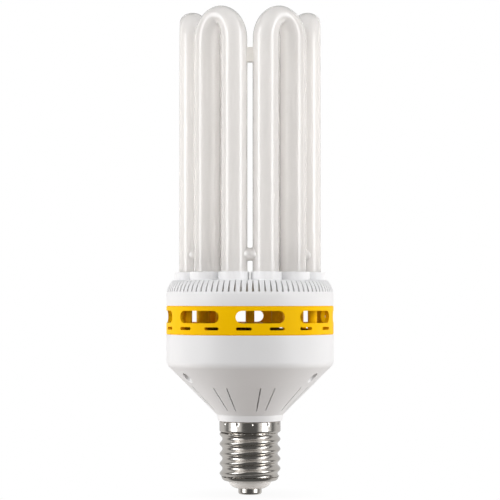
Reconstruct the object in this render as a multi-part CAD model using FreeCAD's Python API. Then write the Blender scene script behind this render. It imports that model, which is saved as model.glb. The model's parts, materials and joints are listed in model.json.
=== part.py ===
import FreeCAD, Part
import math
import os

from FreeCAD import Placement, Rotation, Vector

# Compact fluorescent lamp with six U-shaped tubes on a screw cap, in millimetres and degrees.
# The origin is at the tip of the centre contact, with +Z along the lamp's axis.
# Angles are measured from the front, which faces -Y, towards +X.

UP = Vector(0, 0, 1)

# Centre contact and insulator of the cap
CONTACT_RADIUS = 7.6
CONTACT_HEIGHT = 3.9
CONTACT_EDGE = 1.4
STEM_RADIUS = 2.5
STEM_LENGTH = 11.0
INSULATOR_RADIUS = 14.1
INSULATOR_HEIGHT = 5.8
INSULATOR_FLANGE = 15.5
INSULATOR_FLANGE_HEIGHT = 3.0

# Screw shell of the cap: a round thread under a plain skirt
THREAD_PITCH = 6.35
CREST_RADIUS = 19.75
THREAD_DEPTH = 1.8
THREAD_LAP = 0.1
THREAD_SINK = 0.5
FIRST_CREST = 0.6
SHELL_HEIGHT = 37.9
SHELL_WALL = 1.0
SHELL_TOE = 5.0
SHELL_MOUTH_RADIUS = 12.5
SKIRT_HEIGHT = 7.2
SKIRT_PROUD = 0.1
DENT_COUNT = 12
DENT_FIRST_ANGLE = 5.6
DENT_RADIUS = 1.8
DENT_DEPTH = 0.5
DENT_DROP = 3.0

# Ballast housing: neck, cone and wall
HOUSING_RADIUS = 54.25
HOUSING_WALL = 2.2
HOUSING_EDGE_RADIUS = 6.0
NECK_RADIUS = 21.6
NECK_FOOT_RADIUS = 20.7
NECK_HEIGHT = 4.0
NECK_BORE_RADIUS = 13.5
SPIGOT_LENGTH = 7.0
CONE_ANGLE = 45.0
LOWER_WALL_HEIGHT = 19.25
SLIT_PAIRS = 8
SLIT_FIRST_ANGLE = 16.5
SLIT_HALF_ANGLE = 6.8
SLIT_WIDTH = 0.8
SLIT_INNER_RADIUS = 24.5
SLIT_OUTER_RADIUS = 40.0

# Screws that clamp housing, ring and holder together from below
SCREW_COUNT = 3
SCREW_FIRST_ANGLE = 60.0
SCREW_INSET = 8.25
SCREW_RADIUS = 1.5
SCREW_HEAD_RADIUS = 2.7
SCREW_HEAD_HEIGHT = 2.2
SCREW_SEAT_RISE = 2.0
SCREW_GRIP = 9.0
SCREW_SLOT_WIDTH = 0.9
SCREW_SLOT_DEPTH = 1.1
WELL_RADIUS = 3.0
COLUMN_WALL = 1.1
POST_RADIUS = 3.0
BOSS_RADIUS = 3.4

# Vent ring
RING_HEIGHT = 18.5
RING_WALL = 2.8
RING_CHAMFER = 0.6
RING_LIP_WALL = 1.4
LIP_HEIGHT = 1.8
WINDOW_COUNT = 8
WINDOW_FIRST_ANGLE = 7.15
WINDOW_WIDTH = 31.1
WINDOW_HEIGHT = 7.8
WINDOW_SILL = 7.6
SLOT_HALF_ANGLE = 11.25
SLOT_WIDTH = 10.0
SLOT_HEIGHT = 1.9
SLOT_SILL = 3.2
FLOOR_SILL = 5.5
FLOOR_THICKNESS = 1.7
DUCT_ANGLE = 155.0
DUCT_INSET = 10.25
DUCT_RADIUS = 4.5
DUCT_WALL = 1.2
PILLAR_ANGLE = 135.0
PILLAR_RADIUS = 4.5

# Tube holder: wall, rounded shoulder with vent slits, top plate and collars
UPPER_WALL_HEIGHT = 6.5
SHOULDER_HEIGHT = 10.0
SHOULDER_DROP = 4.25
HOLDER_WALL = 2.2
PLATE_THICKNESS = 2.5
VENT_COUNT = 88
VENT_RISE = 2.5
VENT_HEIGHT = 7.0
VENT_FOOT_WIDTH = 1.35
VENT_HEAD_WIDTH = 0.45
VENT_DEPTH = 5.3
COLLAR_HEIGHT = 5.1
COLLAR_WALL = 1.1
COLLAR_STRETCH = 1.6
SOCKET_WALL = 1.5
SOCKET_DEPTH = 14.0

# U-shaped tubes, the glass bridges that join them and the soft spacers near their tops
TUBE_COUNT = 6
TUBE_RADIUS = 8.3
LEG_CIRCLE = 38.7
LEG_EXPOSED = 147.2
LEG_FOOT_CHAMFER = 3.0
ARCH_HEIGHT = 22.0
ARCH_CROWN = 12.6
ARCH_SECTIONS = 10
BRIDGE_RISE = 11.0
BRIDGE_WAIST_RADIUS = 4.05
BRIDGE_FLARE_RADIUS = 5.4
BRIDGE_HALF_LENGTH = 3.9
SPACER_DROP = 9.9
SPACER_HEIGHT = 10.4
SPACER_DEPTH = 6.0
SPACER_HALF_LENGTH = 2.6
SPACER_SAG = 0.6

# Circuit board and the ledges that carry it
BOARD_THICKNESS = 1.6
BOARD_DROP = 6.1
LEDGE_COUNT = 3
LEDGE_REACH = 3.0
LEDGE_WIDTH = 12.0
LEDGE_HEIGHT = 4.0

# Ballast components, each hung from the board at a radius and an angle
CAPACITOR_RADIUS = 8.0
CAPACITOR_HEIGHT = 25.0
CAPACITOR_GROOVE = 0.7
CAPACITOR_CIRCLE = 21.0
CAPACITOR_ANGLES = (65.0, 115.0)
CORE_WIDTH = 26.0
CORE_DEPTH = 8.0
CORE_HEIGHT = 21.0
CORE_LIMB = 3.7
CORE_YOKE = 4.0
CORE_CIRCLE = 22.0
CORE_ANGLE = 270.0
COIL_DEPTH = 16.0
COIL_ROUNDING = 2.5
CHOKE_RADIUS = 5.5
CHOKE_HEIGHT = 13.0
CHOKE_HUB_RADIUS = 4.2
CHOKE_FLANGE = 1.8
CHOKE_CIRCLE = 29.0
CHOKE_ANGLE = 330.0
TOROID_RADIUS = 6.0
TOROID_HOLE_RADIUS = 2.6
TOROID_HEIGHT = 5.0
TOROID_ROUNDING = 1.0
TOROID_CIRCLE = 27.0
TOROID_ANGLE = 10.0
CHIP_WIDTH = 10.0
CHIP_DEPTH = 4.5
CHIP_HEIGHT = 15.0
CHIP_STANDOFF = 3.5
CHIP_TAB_HEIGHT = 6.0
CHIP_TAB_THICKNESS = 1.3
CHIP_HOLE_RADIUS = 1.8
CHIP_LEG_SIZE = 0.8
CHIP_LEG_PITCH = 2.54
CHIP_CIRCLE = 34.0
CHIP_ANGLES = (75.0, 105.0)
FILM_WIDTH = 13.0
FILM_DEPTH = 6.0
FILM_HEIGHT = 11.0
FILM_ROUNDING = 1.2
FILM_CIRCLE = 30.0
FILM_ANGLES = (150.0, 210.0)
RECTIFIER_WIDTH = 11.0
RECTIFIER_DEPTH = 4.5
RECTIFIER_HEIGHT = 9.0
RECTIFIER_CORNER = 2.5
RECTIFIER_CIRCLE = 31.0
RECTIFIER_ANGLE = 40.0
FUSE_RADIUS = 2.2
FUSE_HEIGHT = 9.0
FUSE_CAP_HEIGHT = 1.6
FUSE_WAIST = 0.3
FUSE_CIRCLE = 40.0
FUSE_ANGLE = 20.0

# Leads between board, cap and electrodes
LEAD_RADIUS = 0.6
LEAD_BEND = 4.0
CAP_LEAD_OFFSET = 6.0
LEAD_TURN_RISE = 8.0
SHELL_LEAD_HEIGHT = 22.0
ELECTRODE_HALF_GAP = 1.8
ELECTRODE_DROP = 4.5

# Clearances
TURNED_CLEARANCE = 0.1
SLIDE_CLEARANCE = 0.2
LIP_CLEARANCE = 0.3
SCREW_CLEARANCE = 0.2
COIL_CLEARANCE = 0.2
OVERRUN = 1.0
UPRIGHT_ANGLE = 1.0

# Levels up the axis
SHELL_BASE = CONTACT_HEIGHT + INSULATOR_HEIGHT
NECK_BASE = SHELL_BASE + SHELL_HEIGHT
CONE_BASE = NECK_BASE + NECK_HEIGHT
CONE_SLOPE = math.radians(CONE_ANGLE)
CONE_TOP = CONE_BASE + (HOUSING_RADIUS - NECK_RADIUS) * math.tan(CONE_SLOPE)
RING_BASE = CONE_TOP + LOWER_WALL_HEIGHT
RING_TOP = RING_BASE + RING_HEIGHT
SHOULDER_BASE = RING_TOP + UPPER_WALL_HEIGHT
HOLDER_TOP = SHOULDER_BASE + SHOULDER_HEIGHT
COLLAR_TOP = HOLDER_TOP + COLLAR_HEIGHT
ARCH_BASE = COLLAR_TOP + LEG_EXPOSED
LEG_FOOT = COLLAR_TOP - SOCKET_DEPTH
FLOOR_BASE = RING_BASE + FLOOR_SILL
BOARD_BASE = RING_BASE - BOARD_DROP
BOARD_TOP = BOARD_BASE + BOARD_THICKNESS
SCREW_SEAT = CONE_TOP + SCREW_SEAT_RISE
SCREW_TIP = RING_TOP + SCREW_GRIP

# Radii and angles that follow from the sizes above
ROOT_RADIUS = CREST_RADIUS - THREAD_DEPTH
THREAD_ROUNDING = (THREAD_PITCH / 4) ** 2 / THREAD_DEPTH + THREAD_DEPTH / 4
SKIRT_RADIUS = CREST_RADIUS + SKIRT_PROUD
SHELL_BORE_RADIUS = ROOT_RADIUS - SHELL_WALL
HOUSING_BORE_RADIUS = HOUSING_RADIUS - HOUSING_WALL
RING_BORE_RADIUS = HOUSING_RADIUS - RING_WALL
SHOULDER_RADIUS = (SHOULDER_HEIGHT**2 + SHOULDER_DROP**2) / (2 * SHOULDER_DROP)
BORE_RADIUS = TUBE_RADIUS + SLIDE_CLEARANCE
SCREW_CIRCLE = HOUSING_RADIUS - SCREW_INSET
DUCT_CIRCLE = HOUSING_RADIUS - DUCT_INSET
SCREW_HOLE_RADIUS = SCREW_RADIUS + SCREW_CLEARANCE
LEG_COUNT = 2 * TUBE_COUNT
LEG_STEP = 360 / LEG_COUNT
TUBE_STEP = 360 / TUBE_COUNT


def polar(radius, angle, height=0.0):
    """Point at a radius from the axis and an angle from the front."""
    turn = math.radians(angle)
    return Vector(radius * math.sin(turn), -radius * math.cos(turn), height)


def angles(count, first=0.0):
    """Evenly spread angles round the axis."""
    return [first + step * 360 / count for step in range(count)]


def section(start, *steps):
    """Closed face in the plane of radius and height. A step is a line's end, or an arc's middle and end."""
    edges = []
    here = Vector(start[0], 0, start[1])
    first = here
    for step in steps:
        if isinstance(step[0], tuple):
            middle, end = (Vector(radius, 0, height) for radius, height in step)
            edges.append(Part.Arc(here, middle, end).toShape())
        else:
            end = Vector(step[0], 0, step[1])
            edges.append(Part.LineSegment(here, end).toShape())
        here = end
    edges.append(Part.LineSegment(here, first).toShape())
    return Part.Face(Part.Wire(edges))


def turned(start, *steps):
    """Solid of revolution about the axis."""
    return section(start, *steps).revolve(Vector(), UP, 360)


def quarter_round(start, end):
    """Step of an outline that leaves one point along the radius and reaches another along the axis."""
    bulge = math.sqrt(0.5)
    middle = (start[0] + (end[0] - start[0]) * bulge, end[1] - (end[1] - start[1]) * bulge)
    return (middle, end)


def on_arc(centre, radius, turn):
    """Point of an arc in the plane of radius and height."""
    return (centre[0] + radius * math.cos(turn), centre[1] + radius * math.sin(turn))


def rod(radius, base, top, place=Vector()):
    """Upright cylinder between two levels."""
    return Part.makeCylinder(radius, top - base, Vector(place.x, place.y, base))


def block(width, depth, base, top):
    """Upright box centred on the axis."""
    return Part.makeBox(width, depth, top - base, Vector(-width / 2, -depth / 2, base))


def facing(shape, angle):
    """Shape drawn at the front, turned about the axis to an angle."""
    copy = shape.copy()
    copy.rotate(Vector(), UP, angle)
    return copy


def upright_edges(shape):
    """Straight edges that run along the axis."""
    least = math.cos(math.radians(UPRIGHT_ANGLE))
    return [edge for edge in shape.Edges if abs(edge.tangentAt(edge.FirstParameter).z) > least]


# Screw cap


def centre_contact():
    """Nickelled rivet: a flat button with a round edge, and a stem through the insulator."""
    edge = (CONTACT_RADIUS - CONTACT_EDGE, CONTACT_EDGE)
    return turned(
        (0, 0),
        (CONTACT_RADIUS - CONTACT_EDGE, 0),
        (on_arc(edge, CONTACT_EDGE, -math.pi / 4), (CONTACT_RADIUS, CONTACT_EDGE)),
        (CONTACT_RADIUS, CONTACT_HEIGHT),
        (STEM_RADIUS, CONTACT_HEIGHT),
        (STEM_RADIUS, CONTACT_HEIGHT + STEM_LENGTH),
        (0, CONTACT_HEIGHT + STEM_LENGTH),
    )


def cap_insulator():
    """Glass dome below the shell, with a neck and a flange that grip the shell's turned-in mouth."""
    hole = STEM_RADIUS + TURNED_CLEARANCE
    neck = SHELL_MOUTH_RADIUS - TURNED_CLEARANCE
    flange_base = SHELL_BASE + SHELL_WALL
    dome = quarter_round((CONTACT_RADIUS, CONTACT_HEIGHT), (INSULATOR_RADIUS, SHELL_BASE))
    return turned(
        (hole, CONTACT_HEIGHT),
        (CONTACT_RADIUS, CONTACT_HEIGHT),
        dome,
        (neck, SHELL_BASE),
        (neck, flange_base),
        (INSULATOR_FLANGE, flange_base),
        (INSULATOR_FLANGE, flange_base + INSULATOR_FLANGE_HEIGHT),
        (hole, flange_base + INSULATOR_FLANGE_HEIGHT),
    )


def thread_rib():
    """Right-hand helical rib whose crest and flanks are tangent arcs of one radius."""
    flank = (CREST_RADIUS - THREAD_DEPTH / 2, THREAD_PITCH / 4)
    root_centre = (ROOT_RADIUS + THREAD_ROUNDING, THREAD_PITCH / 2)
    foot_radius = ROOT_RADIUS + THREAD_LAP / 2
    start = -math.acos((root_centre[0] - foot_radius) / THREAD_ROUNDING)
    end = math.atan2(flank[1] - root_centre[1], root_centre[0] - flank[0])
    foot, hollow = (on_arc(root_centre, -THREAD_ROUNDING, -turn) for turn in (start, (start + end) / 2))
    base_radius = ROOT_RADIUS - THREAD_SINK
    profile = section(
        (base_radius, -foot[1]),
        (foot[0], -foot[1]),
        ((hollow[0], -hollow[1]), (flank[0], -flank[1])),
        ((CREST_RADIUS, 0), flank),
        (hollow, foot),
        (base_radius, foot[1]),
    ).OuterWire
    base = SHELL_BASE + FIRST_CREST - THREAD_PITCH
    helix = Part.makeHelix(THREAD_PITCH, NECK_BASE - SKIRT_HEIGHT / 2 - base, ROOT_RADIUS)
    rib = Part.Wire(helix.Edges).makePipeShell([profile], True, True)
    rib.translate(UP * base)
    return rib


def screw_shell():
    """Nickelled shell: thread, plain skirt, turned-in mouth and a ring of staking dents."""
    skirt = rod(SKIRT_RADIUS, NECK_BASE - SKIRT_HEIGHT, NECK_BASE)
    core = rod(ROOT_RADIUS + THREAD_LAP, SHELL_BASE, NECK_BASE)
    outer = SKIRT_RADIUS + OVERRUN
    envelope = turned(
        (0, SHELL_BASE),
        (INSULATOR_RADIUS, SHELL_BASE),
        quarter_round((INSULATOR_RADIUS, SHELL_BASE), (outer, SHELL_BASE + SHELL_TOE)),
        (outer, NECK_BASE),
        (0, NECK_BASE),
    )
    bore_base = SHELL_BASE + SHELL_WALL
    bore = turned(
        (0, SHELL_BASE),
        (SHELL_MOUTH_RADIUS, SHELL_BASE),
        (SHELL_MOUTH_RADIUS, bore_base),
        (INSULATOR_FLANGE + TURNED_CLEARANCE, bore_base),
        (SHELL_BORE_RADIUS, SHELL_BASE + SHELL_TOE),
        (SHELL_BORE_RADIUS, NECK_BASE),
        (0, NECK_BASE),
    )
    dent_place = SKIRT_RADIUS + DENT_RADIUS - DENT_DEPTH
    dents = [
        Part.makeSphere(DENT_RADIUS, polar(dent_place, angle, NECK_BASE - DENT_DROP))
        for angle in angles(DENT_COUNT, DENT_FIRST_ANGLE)
    ]
    body = core.fuse(thread_rib()).fuse(skirt)
    return body.common(envelope).cut([bore] + dents)


# Ballast housing


def cone_height(radius, inset=0.0):
    """Height of the cone at a radius, on a skin drawn in by an inset."""
    return CONE_BASE + (radius - NECK_RADIUS) * math.tan(CONE_SLOPE) + inset / math.cos(CONE_SLOPE)


def cone_and_wall(inset):
    """Outline steps up the cone, round its edge and up the wall, on a skin drawn in by an inset."""
    turn = (math.pi / 2 - CONE_SLOPE) / 2
    bend = HOUSING_EDGE_RADIUS - inset
    centre = (HOUSING_RADIUS - HOUSING_EDGE_RADIUS, CONE_TOP + HOUSING_EDGE_RADIUS * math.tan(turn))
    return (
        on_arc(centre, bend, -2 * turn),
        (on_arc(centre, bend, -turn), on_arc(centre, bend, 0)),
        (HOUSING_RADIUS - inset, RING_BASE),
        (0, RING_BASE),
    )


def ballast_housing():
    """White moulding: spigot, neck, slit cone and wall, with board ledges and screw columns inside."""
    spigot_base = NECK_BASE - SPIGOT_LENGTH
    spigot = SHELL_BORE_RADIUS - SLIDE_CLEARANCE
    outer = turned(
        (0, spigot_base),
        (spigot, spigot_base),
        (spigot, NECK_BASE),
        (NECK_FOOT_RADIUS, NECK_BASE),
        (NECK_RADIUS, CONE_BASE),
        *cone_and_wall(0),
    )
    inner = turned(
        (0, spigot_base),
        (NECK_BORE_RADIUS, spigot_base),
        (NECK_BORE_RADIUS, cone_height(NECK_BORE_RADIUS, HOUSING_WALL)),
        *cone_and_wall(HOUSING_WALL),
    )
    fittings = []
    cuts = []
    for angle in angles(SCREW_COUNT, SCREW_FIRST_ANGLE):
        place = polar(SCREW_CIRCLE, angle)
        fittings.append(rod(WELL_RADIUS + COLUMN_WALL, CONE_BASE, RING_BASE, place))
        cuts.append(rod(WELL_RADIUS, CONE_BASE, SCREW_SEAT, place))
        cuts.append(rod(SCREW_HOLE_RADIUS, CONE_BASE, RING_BASE, place))
    ledge = Part.makeBox(
        LEDGE_WIDTH,
        LEDGE_REACH + HOUSING_WALL,
        LEDGE_HEIGHT,
        Vector(-LEDGE_WIDTH / 2, -HOUSING_RADIUS, BOARD_BASE - LEDGE_HEIGHT),
    )
    fittings += [facing(ledge, angle) for angle in angles(LEDGE_COUNT)]
    slit = Part.makeBox(
        SLIT_WIDTH,
        SLIT_OUTER_RADIUS - SLIT_INNER_RADIUS,
        cone_height(SLIT_OUTER_RADIUS, HOUSING_WALL) + OVERRUN - CONE_BASE,
        Vector(-SLIT_WIDTH / 2, -SLIT_OUTER_RADIUS, CONE_BASE),
    )
    for angle in angles(SLIT_PAIRS, SLIT_FIRST_ANGLE):
        cuts.append(facing(slit, angle - SLIT_HALF_ANGLE))
        cuts.append(facing(slit, angle + SLIT_HALF_ANGLE))
    inside = Part.makeCompound(fittings).common(outer)
    return outer.cut(inner).fuse(inside.Solids).cut(cuts).removeSplitter()


def housing_screws():
    """Three long slotted screws, heads down in the wells of the cone, tips in the holder's bosses."""
    screws = []
    head_base = SCREW_SEAT - SCREW_HEAD_HEIGHT
    slot = block(2 * SCREW_HEAD_RADIUS, SCREW_SLOT_WIDTH, head_base, head_base + SCREW_SLOT_DEPTH)
    head = rod(SCREW_HEAD_RADIUS, head_base, SCREW_SEAT).cut(slot)
    screw = head.fuse(rod(SCREW_RADIUS, head_base + SCREW_SLOT_DEPTH, SCREW_TIP)).removeSplitter()
    for angle in angles(SCREW_COUNT, SCREW_FIRST_ANGLE):
        copy = screw.copy()
        copy.translate(polar(SCREW_CIRCLE, angle))
        screws.append(copy)
    return Part.makeCompound(screws)


# Vent ring


def stadium(width, height, centre_height):
    """Upright face with round ends at the front of the ring, outside its wall."""
    end = height / 2
    run = width / 2 - end
    place = Vector(0, -HOUSING_RADIUS - OVERRUN, centre_height)
    corners = [place + Vector(x, 0, z) for x, z in ((-run, -end), (run, -end), (run, end), (-run, end))]
    right = place + Vector(width / 2, 0, 0)
    left = place - Vector(width / 2, 0, 0)
    edges = [
        Part.LineSegment(corners[0], corners[1]).toShape(),
        Part.Arc(corners[1], right, corners[2]).toShape(),
        Part.LineSegment(corners[2], corners[3]).toShape(),
        Part.Arc(corners[3], left, corners[0]).toShape(),
    ]
    return Part.Face(Part.Wire(edges))


def vent_ring():
    """Yellow moulding: wall with windows and slots, a floor between them, screw posts and wire ducts."""
    lip = HOUSING_BORE_RADIUS - LIP_CLEARANCE
    lip_bore = lip - RING_LIP_WALL
    floor_top = FLOOR_BASE + FLOOR_THICKNESS
    ring = turned(
        (0, FLOOR_BASE),
        (lip_bore, FLOOR_BASE),
        (lip_bore, RING_BASE - LIP_HEIGHT),
        (lip, RING_BASE - LIP_HEIGHT),
        (lip, RING_BASE),
        (HOUSING_RADIUS - RING_CHAMFER, RING_BASE),
        (HOUSING_RADIUS, RING_BASE + RING_CHAMFER),
        (HOUSING_RADIUS, RING_TOP - RING_CHAMFER),
        (HOUSING_RADIUS - RING_CHAMFER, RING_TOP),
        (RING_BORE_RADIUS, RING_TOP),
        (RING_BORE_RADIUS, floor_top),
        (0, floor_top),
    )
    window = stadium(WINDOW_WIDTH, WINDOW_HEIGHT, RING_BASE + WINDOW_SILL + WINDOW_HEIGHT / 2)
    slot = stadium(SLOT_WIDTH, SLOT_HEIGHT, RING_BASE + SLOT_SILL + SLOT_HEIGHT / 2)
    chord = math.sqrt(RING_BORE_RADIUS**2 - (WINDOW_WIDTH / 2) ** 2)
    window = window.extrude(Vector(0, HOUSING_RADIUS + 2 * OVERRUN - chord, 0))
    chord = math.sqrt(lip_bore**2 - (SLOT_WIDTH / 2) ** 2)
    slot = slot.extrude(Vector(0, HOUSING_RADIUS + 2 * OVERRUN - chord, 0))
    cuts = []
    for angle in angles(WINDOW_COUNT, WINDOW_FIRST_ANGLE):
        cuts.append(facing(window, angle))
        cuts.append(facing(slot, angle - SLOT_HALF_ANGLE))
        cuts.append(facing(slot, angle + SLOT_HALF_ANGLE))
    posts = []
    holes = []
    for angle in angles(SCREW_COUNT, SCREW_FIRST_ANGLE):
        place = polar(SCREW_CIRCLE, angle)
        posts.append(rod(POST_RADIUS, RING_BASE, RING_TOP, place))
        holes.append(rod(SCREW_HOLE_RADIUS, RING_BASE, RING_TOP, place))
    for angle in (-DUCT_ANGLE, DUCT_ANGLE):
        place = polar(DUCT_CIRCLE, angle)
        posts.append(rod(DUCT_RADIUS, FLOOR_BASE, RING_TOP, place))
        holes.append(rod(DUCT_RADIUS - DUCT_WALL, FLOOR_BASE, RING_TOP, place))
    for angle in (-PILLAR_ANGLE, PILLAR_ANGLE):
        posts.append(rod(PILLAR_RADIUS, FLOOR_BASE, RING_TOP, polar(DUCT_CIRCLE, angle)))
    return ring.cut(cuts).fuse(posts).cut(holes).removeSplitter()


# Tube holder


def leg_angles():
    """Angles of the twelve tube legs."""
    return angles(LEG_COUNT, LEG_STEP / 2)


def collar(angle):
    """Low collar round one leg, stretched outwards."""
    radius = BORE_RADIUS + COLLAR_WALL
    near = rod(radius, HOLDER_TOP - OVERRUN, COLLAR_TOP, polar(LEG_CIRCLE, angle))
    far = rod(radius, HOLDER_TOP - OVERRUN, COLLAR_TOP, polar(LEG_CIRCLE + COLLAR_STRETCH, angle))
    bar = block(2 * radius, COLLAR_STRETCH, HOLDER_TOP - OVERRUN, COLLAR_TOP)
    bar.translate(Vector(0, -LEG_CIRCLE - COLLAR_STRETCH / 2, 0))
    return near.fuse([far, facing(bar, angle)]).removeSplitter()


def shoulder_vent():
    """Cutter for one vent slit at the front: narrow at its head and wide at its foot."""
    foot = SHOULDER_BASE + VENT_RISE
    head = foot + VENT_HEIGHT
    inner = -HOUSING_RADIUS + VENT_DEPTH
    corners = [
        Vector(-VENT_FOOT_WIDTH / 2, inner, foot),
        Vector(VENT_FOOT_WIDTH / 2, inner, foot),
        Vector(VENT_HEAD_WIDTH / 2, inner, head),
        Vector(-VENT_HEAD_WIDTH / 2, inner, head),
    ]
    face = Part.Face(Part.makePolygon(corners + corners[:1]))
    return face.extrude(Vector(0, -VENT_DEPTH - OVERRUN, 0))


def tube_holder():
    """White moulding: wall, slit shoulder and plate, with a collar and a socket for each tube leg."""
    plate_base = HOLDER_TOP - PLATE_THICKNESS
    centre = (HOUSING_RADIUS - SHOULDER_RADIUS, SHOULDER_BASE)
    rise = math.asin(SHOULDER_HEIGHT / SHOULDER_RADIUS)
    bore = HOUSING_RADIUS - HOLDER_WALL
    inner_rise = math.asin((plate_base - SHOULDER_BASE) / (SHOULDER_RADIUS - HOLDER_WALL))
    inner_top = on_arc(centre, SHOULDER_RADIUS - HOLDER_WALL, inner_rise)
    outer = turned(
        (0, RING_TOP),
        (HOUSING_RADIUS, RING_TOP),
        (HOUSING_RADIUS, SHOULDER_BASE),
        (on_arc(centre, SHOULDER_RADIUS, rise / 2), on_arc(centre, SHOULDER_RADIUS, rise)),
        (0, HOLDER_TOP),
    )
    inner = turned((0, RING_TOP), (bore, RING_TOP), (bore, SHOULDER_BASE), inner_top, (0, plate_base))
    lip = RING_BORE_RADIUS - LIP_CLEARANCE
    foot = turned(
        (lip - RING_LIP_WALL, RING_TOP - LIP_HEIGHT),
        (lip, RING_TOP - LIP_HEIGHT),
        (lip, RING_TOP),
        (HOUSING_RADIUS - HOLDER_WALL / 2, RING_TOP),
        (HOUSING_RADIUS - HOLDER_WALL / 2, RING_TOP + LIP_HEIGHT),
        (lip - RING_LIP_WALL, RING_TOP + LIP_HEIGHT),
    )
    additions = [foot]
    cuts = [facing(shoulder_vent(), angle) for angle in angles(VENT_COUNT, 180 / VENT_COUNT)]
    for angle in leg_angles():
        place = polar(LEG_CIRCLE, angle)
        additions.append(collar(angle))
        additions.append(rod(BORE_RADIUS + SOCKET_WALL, LEG_FOOT, HOLDER_TOP - OVERRUN, place))
        cuts.append(rod(BORE_RADIUS, LEG_FOOT, COLLAR_TOP, place))
    for angle in angles(SCREW_COUNT, SCREW_FIRST_ANGLE):
        place = polar(SCREW_CIRCLE, angle)
        additions.append(rod(BOSS_RADIUS, RING_TOP, HOLDER_TOP - OVERRUN, place))
        cuts.append(rod(SCREW_HOLE_RADIUS, RING_TOP, SCREW_TIP + OVERRUN, place))
    return outer.cut(inner).fuse(additions).cut(cuts).removeSplitter()


# Tubes


def arch(first, second, outward):
    """Solid arch between two leg tops, flattened towards its crown."""
    across = second - first
    half_span = across.Length / 2
    across.normalize()
    middle = (first + second) / 2
    rise = ARCH_HEIGHT - ARCH_CROWN / 2
    rings = []
    for step in range(ARCH_SECTIONS + 1):
        turn = math.pi * step / ARCH_SECTIONS
        centre = middle + across * (half_span * math.cos(turn)) + UP * (rise * math.sin(turn))
        normal = across * (rise * math.cos(turn)) + UP * (half_span * math.sin(turn))
        normal.normalize()
        thickness = TUBE_RADIUS - (TUBE_RADIUS - ARCH_CROWN / 2) * math.sin(turn) ** 2
        ring = Part.Ellipse(Vector(), TUBE_RADIUS, thickness).toShape()
        ring.Placement = Placement(centre, Rotation(outward, normal, outward.cross(normal), "XYZ"))
        rings.append(Part.Wire(ring))
    return Part.makeLoft(rings, True)


def u_tube(angle):
    """Sealed U of coated glass: two legs with closed feet, joined by an arch."""
    leg = turned(
        (0, LEG_FOOT),
        (TUBE_RADIUS - LEG_FOOT_CHAMFER, LEG_FOOT),
        (TUBE_RADIUS, LEG_FOOT + LEG_FOOT_CHAMFER),
        (TUBE_RADIUS, ARCH_BASE),
        (0, ARCH_BASE),
    )
    places = [polar(LEG_CIRCLE, angle + side * LEG_STEP / 2) for side in (-1, 1)]
    legs = []
    for place in places:
        copy = leg.copy()
        copy.translate(place)
        legs.append(copy)
    bow = arch(places[0] + UP * ARCH_BASE, places[1] + UP * ARCH_BASE, polar(1, angle))
    return bow.fuse(legs).removeSplitter()


def between_tubes(shape, angle, height):
    """Shape drawn along X, set between two neighbouring tubes and cut to fit their legs."""
    half_angle = math.radians(LEG_STEP / 2)
    placed = shape.copy()
    placed.translate(Vector(0, -LEG_CIRCLE * math.cos(half_angle), height))
    placed = facing(placed, angle)
    places = [polar(LEG_CIRCLE, angle + side * LEG_STEP / 2) for side in (-1, 1)]
    return placed.cut([rod(TUBE_RADIUS, LEG_FOOT, ARCH_BASE, place) for place in places])


def tube_bridge(angle):
    """Short glass neck, waisted in the middle, that joins the legs of two tubes."""
    neck = turned(
        (0, -BRIDGE_HALF_LENGTH),
        (BRIDGE_FLARE_RADIUS, -BRIDGE_HALF_LENGTH),
        ((BRIDGE_WAIST_RADIUS, 0), (BRIDGE_FLARE_RADIUS, BRIDGE_HALF_LENGTH)),
        (0, BRIDGE_HALF_LENGTH),
    )
    neck.rotate(Vector(), Vector(0, 1, 0), 90)
    return between_tubes(neck, angle, COLLAR_TOP + BRIDGE_RISE)


def tube_spacer(angle):
    """Soft pad between two tubes near their tops, drawn in at its upper and lower edges."""
    end = SPACER_HEIGHT / 2
    pad = section(
        (-SPACER_HALF_LENGTH, -end),
        ((0, SPACER_SAG - end), (SPACER_HALF_LENGTH, -end)),
        (SPACER_HALF_LENGTH, end),
        ((0, end - SPACER_SAG), (-SPACER_HALF_LENGTH, end)),
    ).extrude(Vector(0, SPACER_DEPTH, 0))
    pad.translate(Vector(0, -SPACER_DEPTH / 2, 0))
    return between_tubes(pad, angle, ARCH_BASE - SPACER_DROP)


# Ballast


def circuit_board():
    """Round board on the housing's ledges, notched for the screw columns."""
    board = rod(HOUSING_BORE_RADIUS - LIP_CLEARANCE, BOARD_BASE, BOARD_TOP)
    notch = WELL_RADIUS + COLUMN_WALL + LIP_CLEARANCE
    notches = [
        rod(notch, BOARD_BASE, BOARD_TOP, polar(SCREW_CIRCLE, angle))
        for angle in angles(SCREW_COUNT, SCREW_FIRST_ANGLE)
    ]
    return board.cut(notches)


def hung(shape, circle, angle):
    """Component drawn below the origin, hung from the board at a radius and an angle."""
    placed = shape.copy()
    placed.translate(Vector(0, -circle, BOARD_BASE))
    return facing(placed, angle)


def bulk_capacitor(angle):
    """Can with a crimped groove near its foot on the board."""
    radius = CAPACITOR_RADIUS
    groove = CAPACITOR_GROOVE
    can = turned(
        (0, 0),
        (radius, 0),
        (radius, -2 * groove),
        (radius - groove, -3 * groove),
        (radius, -4 * groove),
        (radius, groove - CAPACITOR_HEIGHT),
        (radius - groove, -CAPACITOR_HEIGHT),
        (0, -CAPACITOR_HEIGHT),
    )
    return hung(can, CAPACITOR_CIRCLE, angle)


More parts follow.
